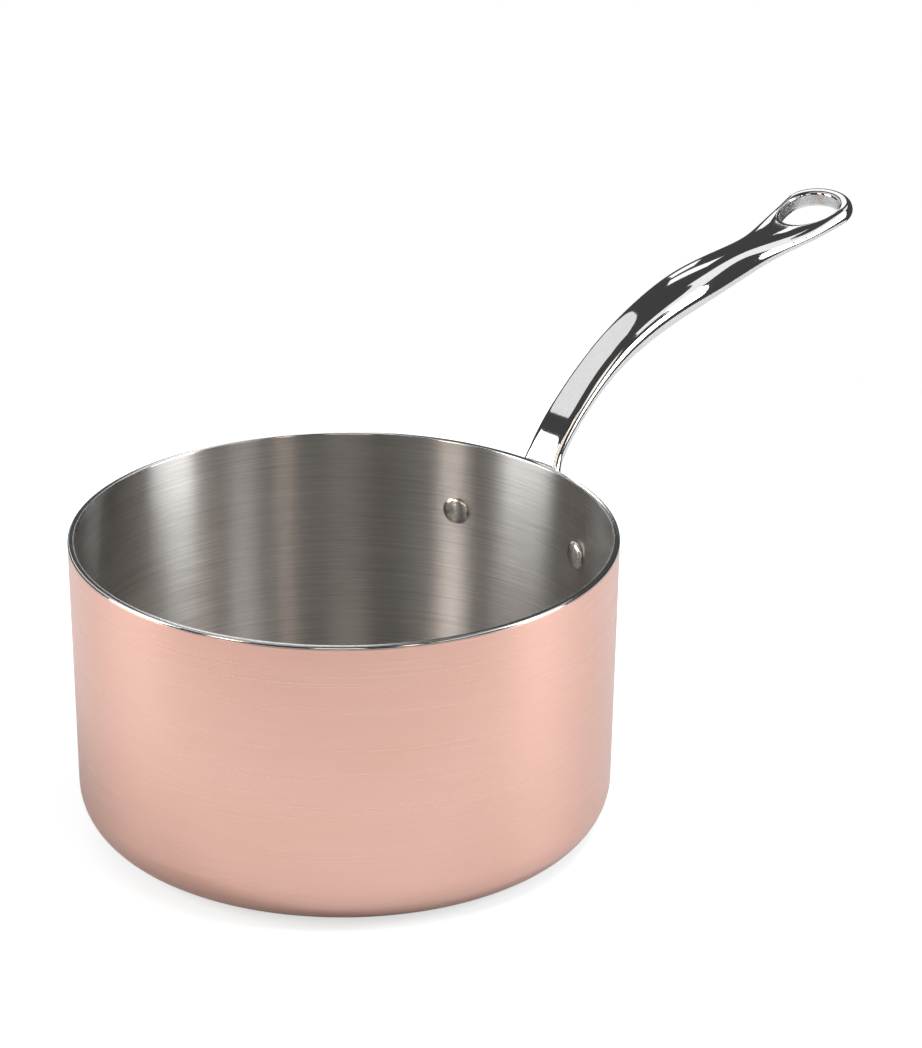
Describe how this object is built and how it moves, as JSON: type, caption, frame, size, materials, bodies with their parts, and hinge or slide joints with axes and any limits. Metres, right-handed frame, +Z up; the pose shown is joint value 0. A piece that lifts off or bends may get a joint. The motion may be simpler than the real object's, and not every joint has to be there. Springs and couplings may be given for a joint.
{
  "type": "saucepan",
  "caption": "Straight-sided saucepan of bonded copper, aluminium and steel, with a long cast handle riveted to the wall and ending in a hanging loop.",
  "frame": {"origin": "centre of the flat underside of the base", "axes": "+Z up out of the pan, +X from the pan's axis along the handle, so that the handle's middle plane is XZ"},
  "size_m": [0.3804, 0.2, 0.1763],
  "materials": {
    "copper": "satin",
    "core": "satin",
    "lining": "brushed round the pan",
    "handle": "mirror polished",
    "rivets": "polished"
  },
  "bodies": {
    "root": {"copper_shell": "copper", "aluminium_core": "core", "steel_lining": "lining", "handle": "handle", "rivet_left": "rivets", "rivet_right": "rivets"}
  },
  "joints": []
}
